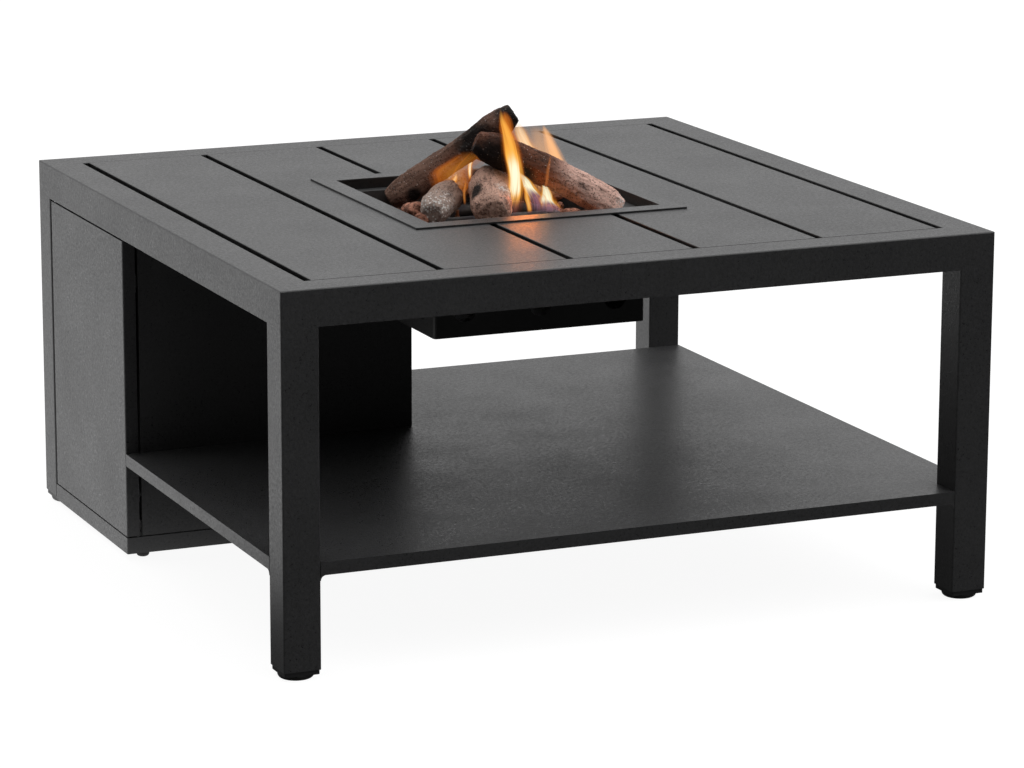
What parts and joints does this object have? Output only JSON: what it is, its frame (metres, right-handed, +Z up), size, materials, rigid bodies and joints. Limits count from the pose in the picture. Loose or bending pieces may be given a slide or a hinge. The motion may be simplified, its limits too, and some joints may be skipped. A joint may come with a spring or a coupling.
{
  "type": "fire pit table",
  "caption": "Square slatted garden table with a gas burner and ceramic logs in its middle, a lower shelf and a gas cabinet with a hinged door.",
  "frame": {"origin": "on the floor under the middle of the table top", "axes": "+X along the front edge to the right, +Y from the front to the back, +Z up; the gas cabinet is at the back left"},
  "size_m": [1, 1, 0.6254],
  "materials": {
    "frame_coat": "matte",
    "burner_coat": "matte",
    "plain_steel": "satin",
    "foot_steel": "matte",
    "brass": "satin",
    "black_plastic": "matte",
    "red_plastic": "satin",
    "white_nylon": "matte",
    "black_rubber": "matte",
    "white_ceramic": "satin",
    "log_ceramic": "matte",
    "lava_stone": "matte"
  },
  "bodies": {
    "frame": {"front_rail": "frame_coat", "back_rail": "frame_coat", "left_rail": "frame_coat", "right_rail": "frame_coat", "front_left_leg": "frame_coat", "front_right_leg": "frame_coat", "back_left_leg": "frame_coat", "back_right_leg": "frame_coat", "leg_caps": "black_plastic", "left_outer_slat": "frame_coat", "left_inner_slat": "frame_coat", "centre_front_slat": "frame_coat", "centre_back_slat": "frame_coat", "right_inner_slat": "frame_coat", "right_outer_slat": "frame_coat", "slat_bearers": "frame_coat", "lower_shelf": "frame_coat", "shelf_stiffeners": "frame_coat", "cabinet_base": "frame_coat", "cabinet_feet": "black_rubber", "cabinet_front_panel": "frame_coat", "cabinet_right_panel": "frame_coat", "cabinet_back_panel": "frame_coat", "door_magnets": "plain_steel", "upper_hinge_stud": "plain_steel", "lower_hinge_stud": "plain_steel", "burner_trim": "frame_coat", "burner_box": "burner_coat", "burner_pan": "plain_steel", "burner_ring": "plain_steel", "injector": "brass", "gas_pipe": "plain_steel", "ignition_electrode": "white_ceramic", "thermocouple": "plain_steel", "control_plate": "burner_coat", "gas_valve": "brass", "gas_inlet": "brass", "igniter_body": "black_plastic", "igniter_nut": "black_plastic", "back_log": "log_ceramic", "right_log": "log_ceramic", "centre_log": "log_ceramic", "front_log": "log_ceramic", "rear_log": "log_ceramic", "lava_stones": "lava_stone"},
    "door": {"cabinet_door": "frame_coat", "door_bushes": "white_nylon", "door_strikes": "plain_steel"},
    "stem": {"valve_stem": "plain_steel"},
    "knob": {"control_knob": "black_plastic"},
    "button": {"igniter_button": "red_plastic"},
    "foot_front_left": {"front_left_foot": "foot_steel"},
    "foot_front_right": {"front_right_foot": "foot_steel"},
    "foot_back_left": {"back_left_foot": "foot_steel"},
    "foot_back_right": {"back_right_foot": "foot_steel"}
  },
  "joints": [
    {"name": "door_swing", "type": "hinge", "parent": "frame", "child": "door", "pos_m": [-0.491, 0.434, 0.24], "axis": [0, 0, -1], "range_deg": [0, 100]},
    {"name": "valve_turn", "type": "hinge", "parent": "frame", "child": "stem", "pos_m": [-0.254, 0.45, 0.412], "axis": [0, 1, 0], "range_deg": [0, 180]},
    {"name": "knob_push", "type": "slide", "parent": "stem", "child": "knob", "axis": [0, -1, 0], "range_m": [0, 0.0045], "stiffness_N_per_m": 800},
    {"name": "igniter_push", "type": "slide", "parent": "frame", "child": "button", "axis": [0, -1, 0], "range_m": [0, 0.006], "stiffness_N_per_m": 1500},
    {"name": "foot_front_left_screw", "type": "slide", "parent": "frame", "child": "foot_front_left", "axis": [0, 0, -1], "range_m": [0, 0.012]},
    {"name": "foot_front_right_screw", "type": "slide", "parent": "frame", "child": "foot_front_right", "axis": [0, 0, -1], "range_m": [0, 0.012]},
    {"name": "foot_back_left_screw", "type": "slide", "parent": "frame", "child": "foot_back_left", "axis": [0, 0, -1], "range_m": [0, 0.012]},
    {"name": "foot_back_right_screw", "type": "slide", "parent": "frame", "child": "foot_back_right", "axis": [0, 0, -1], "range_m": [0, 0.012]}
  ]
}
